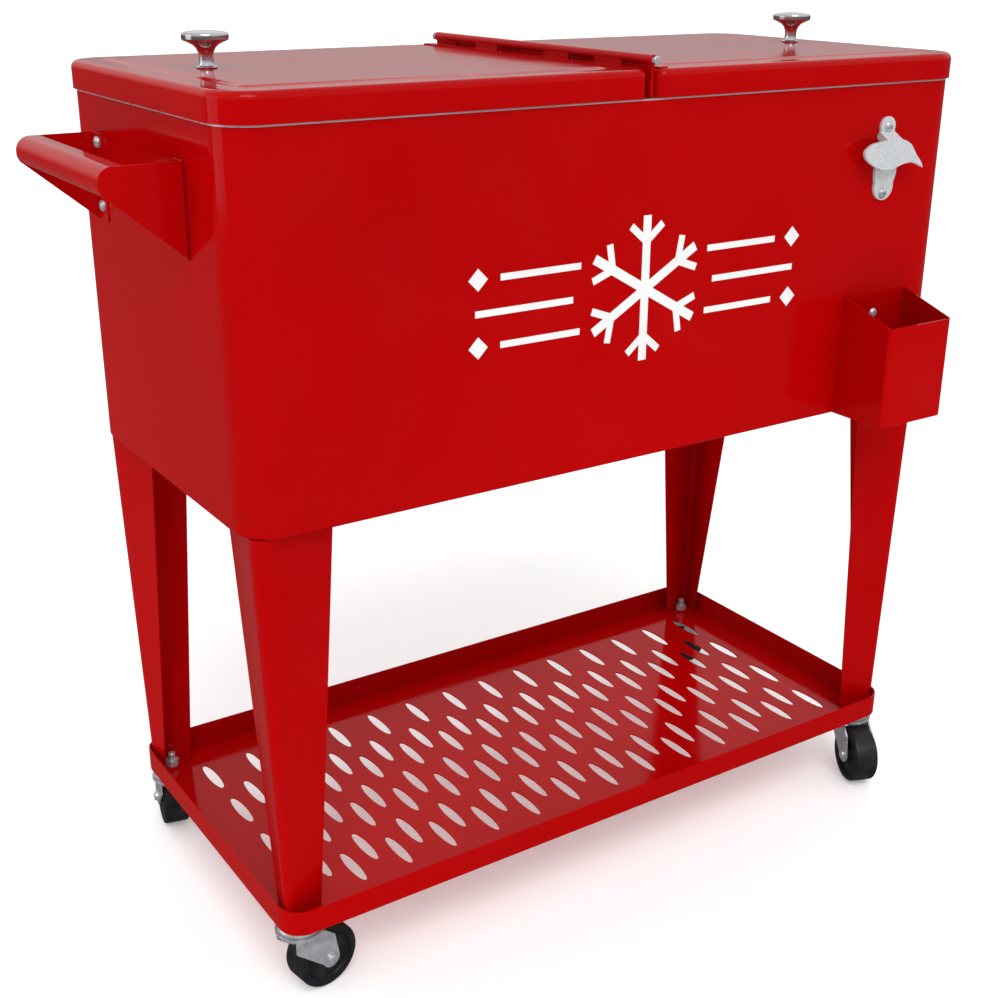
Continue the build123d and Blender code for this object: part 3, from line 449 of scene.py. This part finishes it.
def rubber():
    """Hard black wheel rubber with floor dust on it."""
    finish = Finish("black_rubber", (0.012, 0.012, 0.014), roughness=0.42, specular=0.25)
    dust = finish.span(finish.grain(70.0, 6.0), 0.0, 0.6, 0.5, 0.75)
    finish.colour(finish.tint(dust, (0.010, 0.010, 0.012), (0.035, 0.034, 0.034)))
    finish.rough(finish.span(finish.grain(150.0, 4.0), 0.3, 0.58))
    finish.relief(finish.grain(1200.0, 2.0), 0.1, 0.0002)
    return finish.material


def zinc():
    """Bright zinc-plated steel, slightly cloudy."""
    finish = Finish("zinc_steel", (0.60, 0.61, 0.64), metallic=0.55, roughness=0.22)
    clouds = finish.span(finish.grain(110.0, 5.0), 0, 1)
    finish.colour(finish.tint(clouds, (0.62, 0.63, 0.66), (0.42, 0.43, 0.46)))
    finish.rough(finish.span(finish.grain(240.0, 4.0), 0.14, 0.36))
    finish.relief(finish.grain(1000.0, 2.0), 0.06, 0.0002)
    return finish.material


FINISH_MAKERS = {
    "red_enamel": enamel, "liner_steel": liner, "foam": foam, "gasket": gasket,
    "drain_plastic": moulding, "chrome": chrome, "cast_metal": cast_metal,
    "white_print": white_print, "black_rubber": rubber, "zinc_steel": zinc,
}


# ---------------------------------------------------------------- settings

def box_size(node, axis):
    """A CAD node's size along one axis."""
    low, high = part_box(node)
    return high[axis] - low[axis]


class CoolerSettings(bpy.types.PropertyGroup):
    """Sizes and colours of the cooler."""

    enamel_colour: bpy.props.FloatVectorProperty(
        name="Enamel colour", description="Colour of the baked enamel", subtype="COLOR",
        size=3, min=0, max=1, default=(0.415, 0.0004, 0.0009))
    corner_radius: bpy.props.FloatProperty(
        name="Chest corner", description="Radius of the chest's upright corners",
        default=0.034, min=0.005, max=0.08, unit="LENGTH")
    sheet: bpy.props.FloatProperty(
        name="Sheet", description="Thickness of the sheet metal", default=0.0012, min=0.0005,
        max=0.004, unit="LENGTH")
    lid_corner: bpy.props.FloatProperty(
        name="Lid corner", description="Radius of the lids' outer corners",
        default=0.037, min=0.005, max=0.08, unit="LENGTH")
    lid_edge: bpy.props.FloatProperty(
        name="Lid edge", description="Rounding of the lids' top edge",
        default=0.0066, min=0.001, max=0.01, unit="LENGTH")
    panel_inset: bpy.props.FloatProperty(
        name="Lid panel inset", description="Plain border round each lid's raised panel",
        default=0.024, min=0.01, max=0.06, unit="LENGTH")
    grip_radius: bpy.props.FloatProperty(
        name="Grip radius", description="Radius of the handle's rolled grip",
        default=0.013, min=0.006, max=0.02, unit="LENGTH")
    knob_radius: bpy.props.FloatProperty(
        name="Knob radius", description="Radius of the lid knobs' heads",
        default=box_size("left_knob", 0) / 2, min=0.01, max=0.03, unit="LENGTH")
    wheel_radius: bpy.props.FloatProperty(
        name="Wheel radius", description="Radius of the caster wheels",
        default=JOINTS["front_left_roll"]["pos_m"][2], min=0.02, max=0.05, unit="LENGTH")
    wheel_width: bpy.props.FloatProperty(
        name="Wheel width", description="Width of the caster wheels", default=0.028,
        min=0.01, max=0.04, unit="LENGTH")


class StageSettings(bpy.types.PropertyGroup):
    """The floor, the lights and the camera."""

    azimuth: bpy.props.FloatProperty(
        name="Azimuth", description="Camera's turn round the cooler", subtype="ANGLE",
        default=math.radians(-33.573))
    elevation: bpy.props.FloatProperty(
        name="Elevation", description="Camera's height above the level", subtype="ANGLE",
        default=math.radians(21.404))
    roll: bpy.props.FloatProperty(
        name="Roll", description="Camera's lean", subtype="ANGLE", default=math.radians(0.347))
    lens: bpy.props.FloatProperty(
        name="Lens", description="Focal length in millimetres on a 36 mm sensor",
        default=51.668, min=20, max=200)
    camera_place: bpy.props.FloatVectorProperty(
        name="Camera place", description="Where the camera stands", subtype="XYZ", unit="LENGTH",
        size=3, default=(-0.833482, -1.199042, 0.950815))
    floor_colour: bpy.props.FloatVectorProperty(
        name="Floor colour", description="Colour of the floor", subtype="COLOR", size=3,
        min=0, max=1, default=(0.9, 0.9, 0.9))
    floor_glow: bpy.props.FloatProperty(
        name="Floor glow", description="Light that the floor gives off, to lift its shadows",
        default=0.22, min=0, max=1)


# ---------------------------------------------------------------- operators

class COOLER_OT_finishes(bpy.types.Operator):
    """Make every finish and put it on the frame's pieces"""

    bl_idname = "cooler.finishes"
    bl_label = "Finishes"

    def execute(self, context):
        for slot, make in FINISH_MAKERS.items():
            FINISHES[slot] = make()
        for name, node in NODES.items():
            for place in node.material_slots:
                place.material = FINISHES[SLOT_OF[name]]
        return {"FINISHED"}


class COOLER_OT_chest(bpy.types.Operator):
    """Model the chest's outer shell"""

    bl_idname = "cooler.chest"
    bl_label = "Chest shell"

    def execute(self, context):
        sizes = context.scene.cooler
        low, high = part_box("outer_shell")
        shell = start_box("chest_shell", low, high)
        edit(shell)
        pick_edges(shell, lambda a, b: abs(a.z - b.z) > 0.1)
        round_edges(sizes.corner_radius, 16)
        pick_faces(shell, lambda middle, way: way.z > 0.9)
        bpy.ops.mesh.delete(type="FACE")
        pick_edges(shell, lambda a, b: max(a.z, b.z) < low.z + 1e-5)
        round_edges(0.0025, 4)
        close_form(shell)
        modify(shell, "SOLIDIFY", thickness=sizes.sheet, offset=-1)
        smooth(shell)
        finish_piece(shell, "chest", "red_enamel", "outer_shell")
        return {"FINISHED"}


class COOLER_OT_lids(bpy.types.Operator):
    """Model the two pressed lid pans with their raised panels"""

    bl_idname = "cooler.lids"
    bl_label = "Lids"

    def execute(self, context):
        sizes = context.scene.cooler
        for side in ("left", "right"):
            low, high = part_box(f"{side}_lid_pan")
            lid = start_box(f"{side}_lid", low, (high.x, high.y, LID_BORDER))
            outer = low.x if side == "left" else high.x
            inner = high.x if side == "left" else low.x
            edit(lid)
            pick_edges(lid, lambda a, b: abs(a.z - b.z) > 0.01 and abs(a.x - outer) < 1e-4)
            round_edges(sizes.lid_corner, 14)
            pick_edges(lid, lambda a, b: abs(a.z - b.z) > 0.01 and abs(a.x - inner) < 1e-4)
            round_edges(0.012, 7)
            pick_faces(lid, lambda middle, way: way.z < -0.9)
            bpy.ops.mesh.delete(type="FACE")
            pick_edges(lid, lambda a, b: min(a.z, b.z) > LID_BORDER - 1e-5)
            round_edges(sizes.lid_edge, 6)
            pick_faces(lid, lambda middle, way: way.z > 0.9995 and abs(middle.x) > 0.15)
            bpy.ops.mesh.inset(thickness=0.0068, depth=0)
            bpy.ops.mesh.remove_doubles(threshold=0.0024)
            bpy.ops.mesh.inset(thickness=sizes.panel_inset - 0.0108, depth=0)
            for rise in (0.0002, 0.00055, 0.00055, 0.0002):
                bpy.ops.mesh.inset(thickness=0.002, depth=rise)
            close_form(lid)
            modify(lid, "SOLIDIFY", thickness=sizes.sheet, offset=-1)
            smooth(lid)
            finish_piece(lid, f"{side}_lid", "red_enamel", f"{side}_lid_pan")
        return {"FINISHED"}


class COOLER_OT_hinge(bpy.types.Operator):
    """Turn the painted hinge barrel with its knuckle joints"""

    bl_idname = "cooler.hinge"
    bl_label = "Hinge barrel"

    def execute(self, context):
        half = KNUCKLE_PITCH * KNUCKLE_COUNT / 2 - 0.0001
        full, groove = 0.00445, 0.0041
        rings = [(-half, 0.0040), (-half + 0.0004, full)]
        for index in range(1, KNUCKLE_COUNT):
            joint = (index - KNUCKLE_COUNT / 2) * KNUCKLE_PITCH
            rings += [(joint - 0.0004, full), (joint - 0.00015, groove),
                      (joint + 0.00015, groove), (joint + 0.0004, full)]
        rings += [(half - 0.0004, full), (half, 0.0040)]
        barrel = turned("hinge_barrel", rings, 32)
        low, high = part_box("hinge_rod")
        aim(barrel, (0, 0, (low.z + high.z) / 2), (0, 1, 0))
        smooth(barrel, 40)
        finish_piece(barrel, "chest", "red_enamel")
        return {"FINISHED"}


class COOLER_OT_knobs(bpy.types.Operator):
    """Turn the two lid knobs"""

    bl_idname = "cooler.knobs"
    bl_label = "Lid knobs"

    def execute(self, context):
        r = context.scene.cooler.knob_radius
        rings = [
            (0.0, 0.0088), (0.0010, 0.0092), (0.0018, 0.0086), (0.0024, 0.0072), (0.0050, 0.0063),
            (0.0090, 0.0062), (0.0130, 0.0068), (0.0165, 0.0084), (0.0190, 0.0110),
            (0.0208, 0.0145), (0.0220, 0.0172), (0.0226, r - 0.0012), (0.0232, r - 0.0003),
            (0.0242, r), (0.0272, r), (0.0282, r - 0.0003), (0.0289, r - 0.0010),
            (0.0293, r - 0.0022), (0.0298, r - 0.0050), (0.0304, r * 0.5), (0.0309, r * 0.25),
            (0.0310, r * 0.08)]
        first = turned("left_lid_knob", rings, 64)
        second = twin(first, "right_lid_knob")
        for knob, side in ((first, "left"), (second, "right")):
            low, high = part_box(f"{side}_knob")
            aim(knob, ((low.x + high.x) / 2, 0, low.z), UP)
            smooth(knob, 40)
            finish_piece(knob, f"{side}_lid", "chrome", f"{side}_knob")
        return {"FINISHED"}


class COOLER_OT_handle(bpy.types.Operator):
    """Fold the end handle: two plates, their screw flanges and a rolled grip"""

    bl_idname = "cooler.handle"
    bl_label = "End handle"

    def execute(self, context):
        sizes = context.scene.cooler
        r = sizes.grip_radius
        low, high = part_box("side_handle")
        plate = start_box("handle_plate", low, (high.x, low.y + PLATE_SHEET, high.z))
        edit(plate)
        pick_edges(plate, lambda a, b: max(a.z, b.z) < low.z + 1e-4
                   and max(a.x, b.x) < low.x + 1e-4)
        bpy.ops.transform.translate(value=(0, 0, HANDLE_FOOT_RISE))
        pick_edges(plate, lambda a, b: abs(a.y - b.y) > 1e-4 and max(a.x, b.x) < low.x + 1e-4
                   and min(a.z, b.z) > high.z - 1e-4)
        round_edges(r, 12)
        pick_edges(plate, lambda a, b: abs(a.y - b.y) > 1e-4 and max(a.x, b.x) < low.x + 1e-4
                   and max(a.z, b.z) < low.z + HANDLE_FOOT_RISE + 0.001)
        round_edges(0.005, 6)
        close_form(plate)
        far = twin(plate, "handle_far_plate", (0, high.y - low.y - PLATE_SHEET, 0))
        flange = start_box("handle_flange", (high.x - PLATE_SHEET, low.y, low.z),
                           (high.x, low.y + HANDLE_FLANGE, high.z))
        edit(flange)
        pick_edges(flange, lambda a, b: abs(a.x - b.x) > 1e-4 and min(a.y, b.y) > low.y + 0.02)
        round_edges(0.004, 5)
        close_form(flange)
        far_flange = twin(flange, "handle_far_flange")
        far_flange.scale = (1, -1, 1)
        far_flange.location = (0, low.y + high.y, 0)
        settle(far_flange)
        close_form(far_flange)
        centre = Vector((low.x + r, 0, high.z - r))
        clear_picks()
        strip = (centre.x + 0.0045, (low.y + high.y) / 2, high.z)
        bpy.ops.mesh.primitive_plane_add(size=1, location=strip)
        grip = bpy.context.active_object
        grip.name = "handle_grip"
        grip.scale = (0.009, high.y - low.y - 0.0004, 1)
        settle(grip)
        edit(grip)
        pick_edges(grip, lambda a, b: max(a.x, b.x) < centre.x + 1e-4)
        bpy.ops.mesh.spin(steps=26, angle=math.radians(212), center=centre, axis=(0, 1, 0))
        bpy.ops.mesh.select_all(action="SELECT")
        bpy.ops.mesh.normals_make_consistent(inside=False)
        bpy.ops.object.mode_set(mode="OBJECT")
        inward = sum((f.normal.dot(centre - f.center) for f in grip.data.polygons), 0.0) > 0
        if inward:
            edit(grip)
            bpy.ops.mesh.select_all(action="SELECT")
            bpy.ops.mesh.flip_normals()
            bpy.ops.object.mode_set(mode="OBJECT")
        modify(grip, "SOLIDIFY", thickness=PLATE_SHEET, offset=-1)
        handle = join([plate, far, flange, far_flange, grip], "end_handle")
        soften(handle, 0.00045, 2)
        smooth(handle)
        finish_piece(handle, "chest", "red_enamel", "side_handle")
        return {"FINISHED"}


class COOLER_OT_catcher(bpy.types.Operator):
    """Fold the cap catcher box"""

    bl_idname = "cooler.catcher"
    bl_label = "Cap catcher"

    def execute(self, context):
        sizes = context.scene.cooler
        low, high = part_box("cap_catcher")
        box = start_box("cap_catcher_box", low, high)
        edit(box)
        pick_edges(box, lambda a, b: max(a.y, b.y) < low.y + 1e-4 and min(a.z, b.z) > high.z - 1e-4)
        bpy.ops.transform.translate(value=(0, 0, -CATCHER_DROP))
        pick_edges(box, lambda a, b: abs(a.z - b.z) > 0.05 and max(a.y, b.y) < low.y + 1e-4)
        round_edges(0.003, 5)
        pick_edges(box, lambda a, b: max(a.z, b.z) < low.z + 1e-4 and min(a.y, b.y) < low.y + 0.06)
        round_edges(0.0016, 3)
        pick_faces(box, lambda middle, way: way.z > 0.8)
        bpy.ops.mesh.delete(type="FACE")
        close_form(box)
        modify(box, "SOLIDIFY", thickness=sizes.sheet + 0.0003, offset=-1, use_even_offset=True)
        soften(box, 0.00045, 2, 50)
        smooth(box)
        finish_piece(box, "chest", "red_enamel", "cap_catcher")
        return {"FINISHED"}


class COOLER_OT_sheet_parts(bpy.types.Operator):
    """Ease the edges of the folded legs and the opener casting"""

    bl_idname = "cooler.sheet_parts"
    bl_label = "Legs and opener"

    def execute(self, context):
        for corner in CORNERS:
            leg = copy_of_node(f"{corner}_leg", f"{corner}_folded_leg")
            soften(leg, 0.0005, 2)
            smooth(leg)
            finish_piece(leg, "chest", "red_enamel", f"{corner}_leg")
        opener = copy_of_node("bottle_opener", "opener_casting")
        soften(opener, 0.0011, 3)
        smooth(opener, 40)
        finish_piece(opener, "chest", "cast_metal", "bottle_opener")
        return {"FINISHED"}


class COOLER_OT_casters(bpy.types.Operator):
    """Model the casters: pressed fork, axle bolt and wheel"""

    bl_idname = "cooler.casters"
    bl_label = "Casters"

    def execute(self, context):
        sizes = context.scene.cooler
        r = sizes.wheel_radius
        w = sizes.wheel_width / 2
        side_rings = [(w, 0.0085), (w - 0.003, 0.0085), (w - 0.003, 0.0095), (w - 0.0034, 0.0240),
                      (w - 0.0026, 0.0248), (w - 0.0004, 0.0255), (w, 0.0262), (w, r - 0.0034),
                      (w - 0.0004, r - 0.0019), (w - 0.0014, r - 0.0007), (w - 0.003, r - 0.0001)]
        rings = [(-z, radius) for z, radius in side_rings] + [(0.0, r)] + list(reversed(side_rings))
        pattern = turned("wheel_pattern", rings, 64)
        bolt = turned("bolt_pattern", [
            (0.0, 0.0063), (0.0008, 0.0063), (0.0008, 0.0050), (0.0022, 0.0049),
            (0.0030, 0.0042), (0.0035, 0.0025)], 24)
        for corner in CORNERS:
            roll = JOINTS[f"{corner}_roll"]
            way = Vector(roll["axis"]).normalized()
            place = Vector(roll["pos_m"])
            wheel = twin(pattern, f"{corner}_wheel")
            aim(wheel, place, way)
            smooth(wheel, 35)
            finish_piece(wheel, f"{corner}_wheel", "black_rubber", f"{corner}_caster_wheel")
            fork = copy_of_node(f"{corner}_caster_fork", f"{corner}_fork")
            soften(fork, 0.0005, 2)
            smooth(fork, 35)
            finish_piece(fork, f"{corner}_fork", "zinc_steel", f"{corner}_caster_fork")
            head = twin(bolt, f"{corner}_bolt_head")
            aim(head, place + way * FORK_HALF_WIDTH, way)
            tail = twin(bolt, f"{corner}_bolt_tail")
            aim(tail, place - way * FORK_HALF_WIDTH, -way)
            shaft = turned(f"{corner}_bolt_shaft",
                           [(-FORK_HALF_WIDTH, 0.0034), (FORK_HALF_WIDTH, 0.0034)], 24)
            aim(shaft, place, way)
            axle = join([shaft, head, tail], f"{corner}_axle_bolt")
            smooth(axle, 40)
            finish_piece(axle, f"{corner}_fork", "zinc_steel", f"{corner}_caster_axle")
        for spare in (pattern, bolt):
            bpy.data.objects.remove(spare)
        return {"FINISHED"}


class COOLER_OT_screws(bpy.types.Operator):
    """Make one domed screw with a cross recess and set a copy in every screw hole"""

    bl_idname = "cooler.screws"
    bl_label = "Domed screws"

    def execute(self, context):
        dome = turned("screw_pattern", [
            (-0.011, 0.0024), (0.0, 0.0024), (0.0, 0.0052), (0.0007, 0.0052), (0.0015, 0.0049),
            (0.0023, 0.0042), (0.0030, 0.0030), (0.0034, 0.0014)], 32)
        first = start_box("recess_arm", (-0.0026, -0.00055, 0.0019), (0.0026, 0.00055, 0.006))
        second = start_box("recess_cross", (-0.00055, -0.0026, 0.0019), (0.00055, 0.0026, 0.006))
        for cutter in (first, second):
            modify(dome, "BOOLEAN", object=cutter, operation="DIFFERENCE", solver="EXACT")
        for spare in (first, second):
            bpy.data.objects.remove(spare)
        places = {"handle_screws": [], "opener_screws": [], "catcher_screws": []}
        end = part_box("side_handle")[1].x
        for y in HANDLE_SCREWS_Y:
            for z in (0.776, 0.719):
                places["handle_screws"].append(((end - PLATE_SHEET, y, z), (-1, 0, 0)))
        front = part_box("outer_shell")[0].y
        for z in (0.776, 0.710):
            places["opener_screws"].append(((OPENER_X, front - OPENER_SHEET, z), (0, -1, 0)))
        for z in (0.585, 0.510):
            places["catcher_screws"].append(((CATCHER_SCREW_X, front - PLATE_SHEET, z), (0, -1, 0)))
        for node, spots in places.items():
            screws = []
            for index, (place, way) in enumerate(spots):
                screw = twin(dome, f"{node}_{index}")
                screw.rotation_euler = Euler((0, 0, 0.4 + 0.7 * index))
                settle(screw)
                aim(screw, place, way)
                screws.append(screw)
            group = join(screws, f"{node}_domed")
            smooth(group, 40)
            finish_piece(group, "chest", "zinc_steel", node)
        bpy.data.objects.remove(dome)
        return {"FINISHED"}


def hang(lamp, place, target):
    """Hang a lamp at a place, turned to a target, out of the camera's sight."""
    fitting = bpy.data.objects.new(lamp.name, lamp)
    bpy.context.scene.collection.objects.link(fitting)
    fitting.location = place
    fitting.rotation_euler = (Vector(target) - Vector(place)).to_track_quat("-Z", "Y").to_euler()
    fitting.visible_camera = False


class COOLER_OT_stage(bpy.types.Operator):
    """Lay the floor, hang the soft lights and set the camera"""

    bl_idname = "cooler.stage"
    bl_label = "Stage"

    def execute(self, context):
        stage = context.scene.cooler_stage
        clear_picks()
        bpy.ops.mesh.primitive_plane_add(size=80, location=(0, 0, -0.0005))
        floor = bpy.context.active_object
        floor.name = "floor"
        paint = Finish("floor_paint", tuple(stage.floor_colour), roughness=0.75, specular=0.15)
        paint.colour(paint.tint(paint.span(paint.grain(1.2, 3.0), 0, 1), tuple(stage.floor_colour),
                                tuple(c * 0.985 for c in stage.floor_colour)))
        paint.shader.inputs["Emission Color"].default_value = (1, 1, 1, 1)
        paint.shader.inputs["Emission Strength"].default_value = stage.floor_glow
        floor.data.materials.append(paint.material)
        floor.visible_glossy = False

        world = bpy.data.worlds.new("soft_surround")
        context.scene.world = world
        world.use_nodes = True
        nodes = world.node_tree.nodes
        links = world.node_tree.links
        heights = nodes.new("ShaderNodeSeparateXYZ")
        links.new(nodes.new("ShaderNodeTexCoord").outputs["Generated"], heights.inputs["Vector"])
        dusk = nodes.new("ShaderNodeMapRange")
        for key, value in (("From Min", -0.02), ("From Max", 0.22),
                           ("To Min", 0.12), ("To Max", 0.85)):
            dusk.inputs[key].default_value = value
        links.new(heights.outputs["Z"], dusk.inputs["Value"])
        seen = nodes.new("ShaderNodeLightPath")
        bright = nodes.new("ShaderNodeMapRange")
        bright.inputs["To Max"].default_value = 1.0
        links.new(seen.outputs["Is Camera Ray"], bright.inputs["Value"])
        links.new(dusk.outputs["Result"], bright.inputs["To Min"])
        nodes["Background"].inputs["Color"].default_value = (1.0, 1.0, 1.0, 1)
        links.new(bright.outputs["Result"], nodes["Background"].inputs["Strength"])

        sun = bpy.data.lights.new("wide_sun", "SUN")
        sun.energy = 1.35
        sun.angle = math.radians(32)
        hang(sun, (-1.1, -3.0, 3.9), (0, 0, 0))
        for name, place, target, size, power in (
                ("back_softbox", (2.1, 3.1, 2.3), (0, 0, 0.8), 3.0, 2),
                ("end_softbox", (-3.6, 1.2, 1.2), (-0.4, 0, 0.6), 2.2, 16)):
            lamp = bpy.data.lights.new(name, "AREA")
            lamp.size = size
            lamp.energy = power
            hang(lamp, place, target)

        a, e = stage.azimuth, stage.elevation
        back = Vector((math.sin(a) * math.cos(e), -math.cos(a) * math.cos(e), math.sin(e)))
        right = (-back).cross(UP).normalized()
        up = right.cross(-back)
        c, s = math.cos(stage.roll), math.sin(stage.roll)
        turned_right = right * c + up * s
        turned_up = up * c - right * s
        camera = bpy.data.objects.new("camera", bpy.data.cameras.new("camera"))
        bpy.context.scene.collection.objects.link(camera)
        camera.data.lens = stage.lens
        camera.data.sensor_width = 36
        camera.data.clip_start = 0.01
        camera.data.clip_end = 100
        camera.matrix_world = (Matrix.Translation(Vector(stage.camera_place))
                               @ Matrix((turned_right, turned_up, back)).transposed().to_4x4())
        bpy.context.scene.camera = camera
        context.scene.view_settings.view_transform = "Standard"
        return {"FINISHED"}


OPERATORS = (
    COOLER_OT_finishes, COOLER_OT_chest, COOLER_OT_lids, COOLER_OT_hinge, COOLER_OT_knobs,
    COOLER_OT_handle, COOLER_OT_catcher, COOLER_OT_sheet_parts, COOLER_OT_casters,
    COOLER_OT_screws, COOLER_OT_stage,
)


class COOLER_PT_panel(bpy.types.Panel):
    """The cooler's pieces and sizes"""

    bl_idname = "COOLER_PT_panel"
    bl_label = "Party Cooler"
    bl_space_type = "VIEW_3D"
    bl_region_type = "UI"
    bl_category = "Cooler"

    def draw(self, context):
        layout = self.layout
        for operator in OPERATORS:
            layout.operator(operator.bl_idname)
        for group in (context.scene.cooler, context.scene.cooler_stage):
            for name in group.__annotations__:
                layout.prop(group, name)


CLASSES = (CoolerSettings, StageSettings, *OPERATORS, COOLER_PT_panel)


def register():
    for item in CLASSES:
        bpy.utils.register_class(item)
    bpy.types.Scene.cooler = bpy.props.PointerProperty(type=CoolerSettings)
    bpy.types.Scene.cooler_stage = bpy.props.PointerProperty(type=StageSettings)


def unregister():
    del bpy.types.Scene.cooler_stage
    del bpy.types.Scene.cooler
    for item in reversed(CLASSES):
        bpy.utils.unregister_class(item)


def main():
    """Build every piece."""
    register()
    bpy.ops.cooler.finishes()
    bpy.ops.cooler.chest()
    bpy.ops.cooler.lids()
    bpy.ops.cooler.hinge()
    bpy.ops.cooler.knobs()
    bpy.ops.cooler.handle()
    bpy.ops.cooler.catcher()
    bpy.ops.cooler.sheet_parts()
    bpy.ops.cooler.casters()
    bpy.ops.cooler.screws()
    bpy.ops.cooler.stage()


if __name__ == "__main__":
    main()
